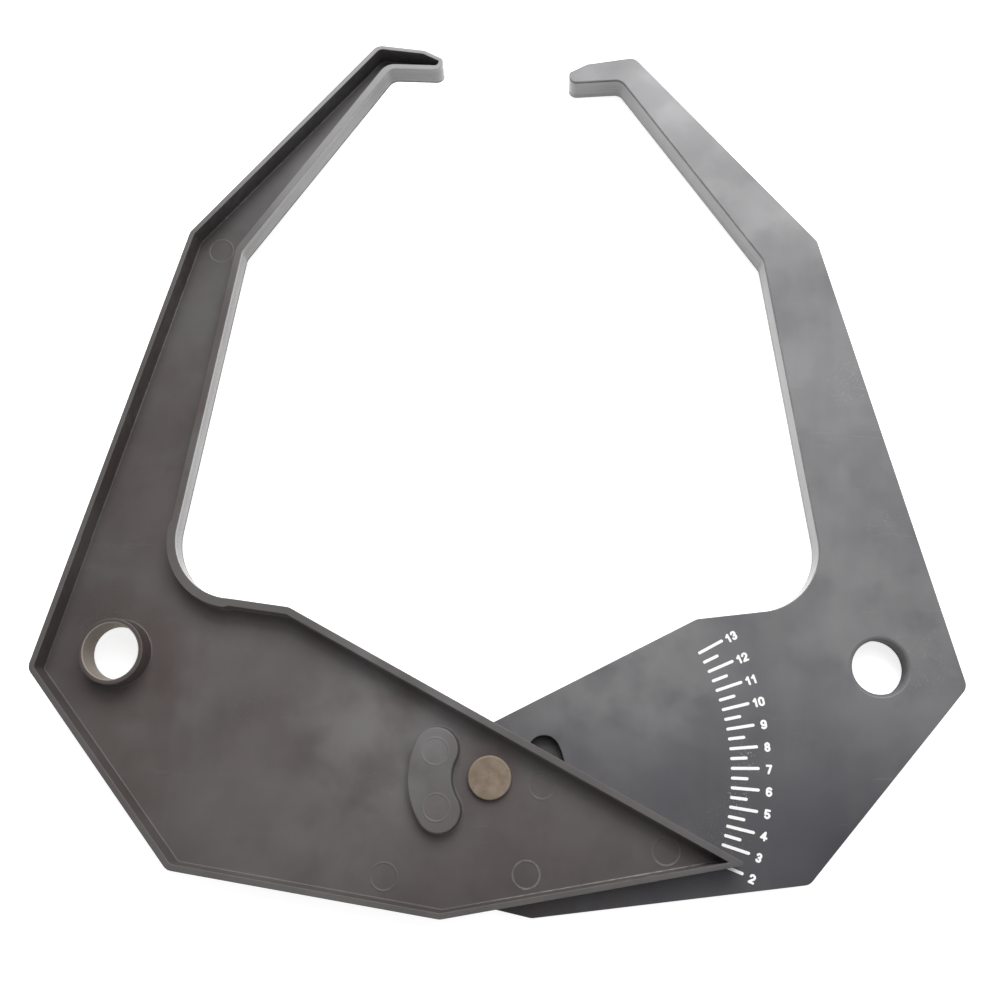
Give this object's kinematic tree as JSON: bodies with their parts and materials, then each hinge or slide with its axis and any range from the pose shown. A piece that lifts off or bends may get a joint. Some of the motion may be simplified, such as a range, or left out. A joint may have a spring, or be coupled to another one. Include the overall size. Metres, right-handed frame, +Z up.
{
  "type": "rim width gauge",
  "caption": "Caliper of two turned-over moulded plastic arms on one rivet, with hooked tips, a pointer end and a printed inch scale for reading rim width.",
  "frame": {"origin": "bottom centre of the bounding box: on the table, under the middle of the gauge as pictured", "axes": "+X across the jaw from the front arm's side to the back arm's side, +Y from the pointers towards the tips, +Z up from the table through the back arm and then the front arm, along the rivet"},
  "size_m": [0.4054, 0.4012, 0.0264],
  "materials": {
    "back_plastic": "semi-matte charcoal moulded plastic with a faint milky bloom",
    "front_plastic": "semi-matte dark grey moulded plastic, slightly warm and dusty",
    "rivet_steel": "dull zinc plated steel with a tan tarnish",
    "washer_steel": "dull zinc plated steel",
    "spring_steel": "dark oiled spring steel",
    "scale_ink": "white pad-printed ink"
  },
  "bodies": {
    "back": {"back_arm": "back_plastic", "pivot_rivet": "rivet_steel", "tail_washer": "washer_steel", "spring_washer": "spring_steel", "scale_marks": "scale_ink", "scale_numerals": "scale_ink"},
    "front": {"front_arm": "front_plastic"}
  },
  "joints": [
    {"name": "arm_pivot", "type": "hinge", "parent": "back", "child": "front", "pos_m": [0, -0.14361, 0.0132], "axis": [0, 0, 1], "range_deg": [-1.6, 66.5]}
  ]
}
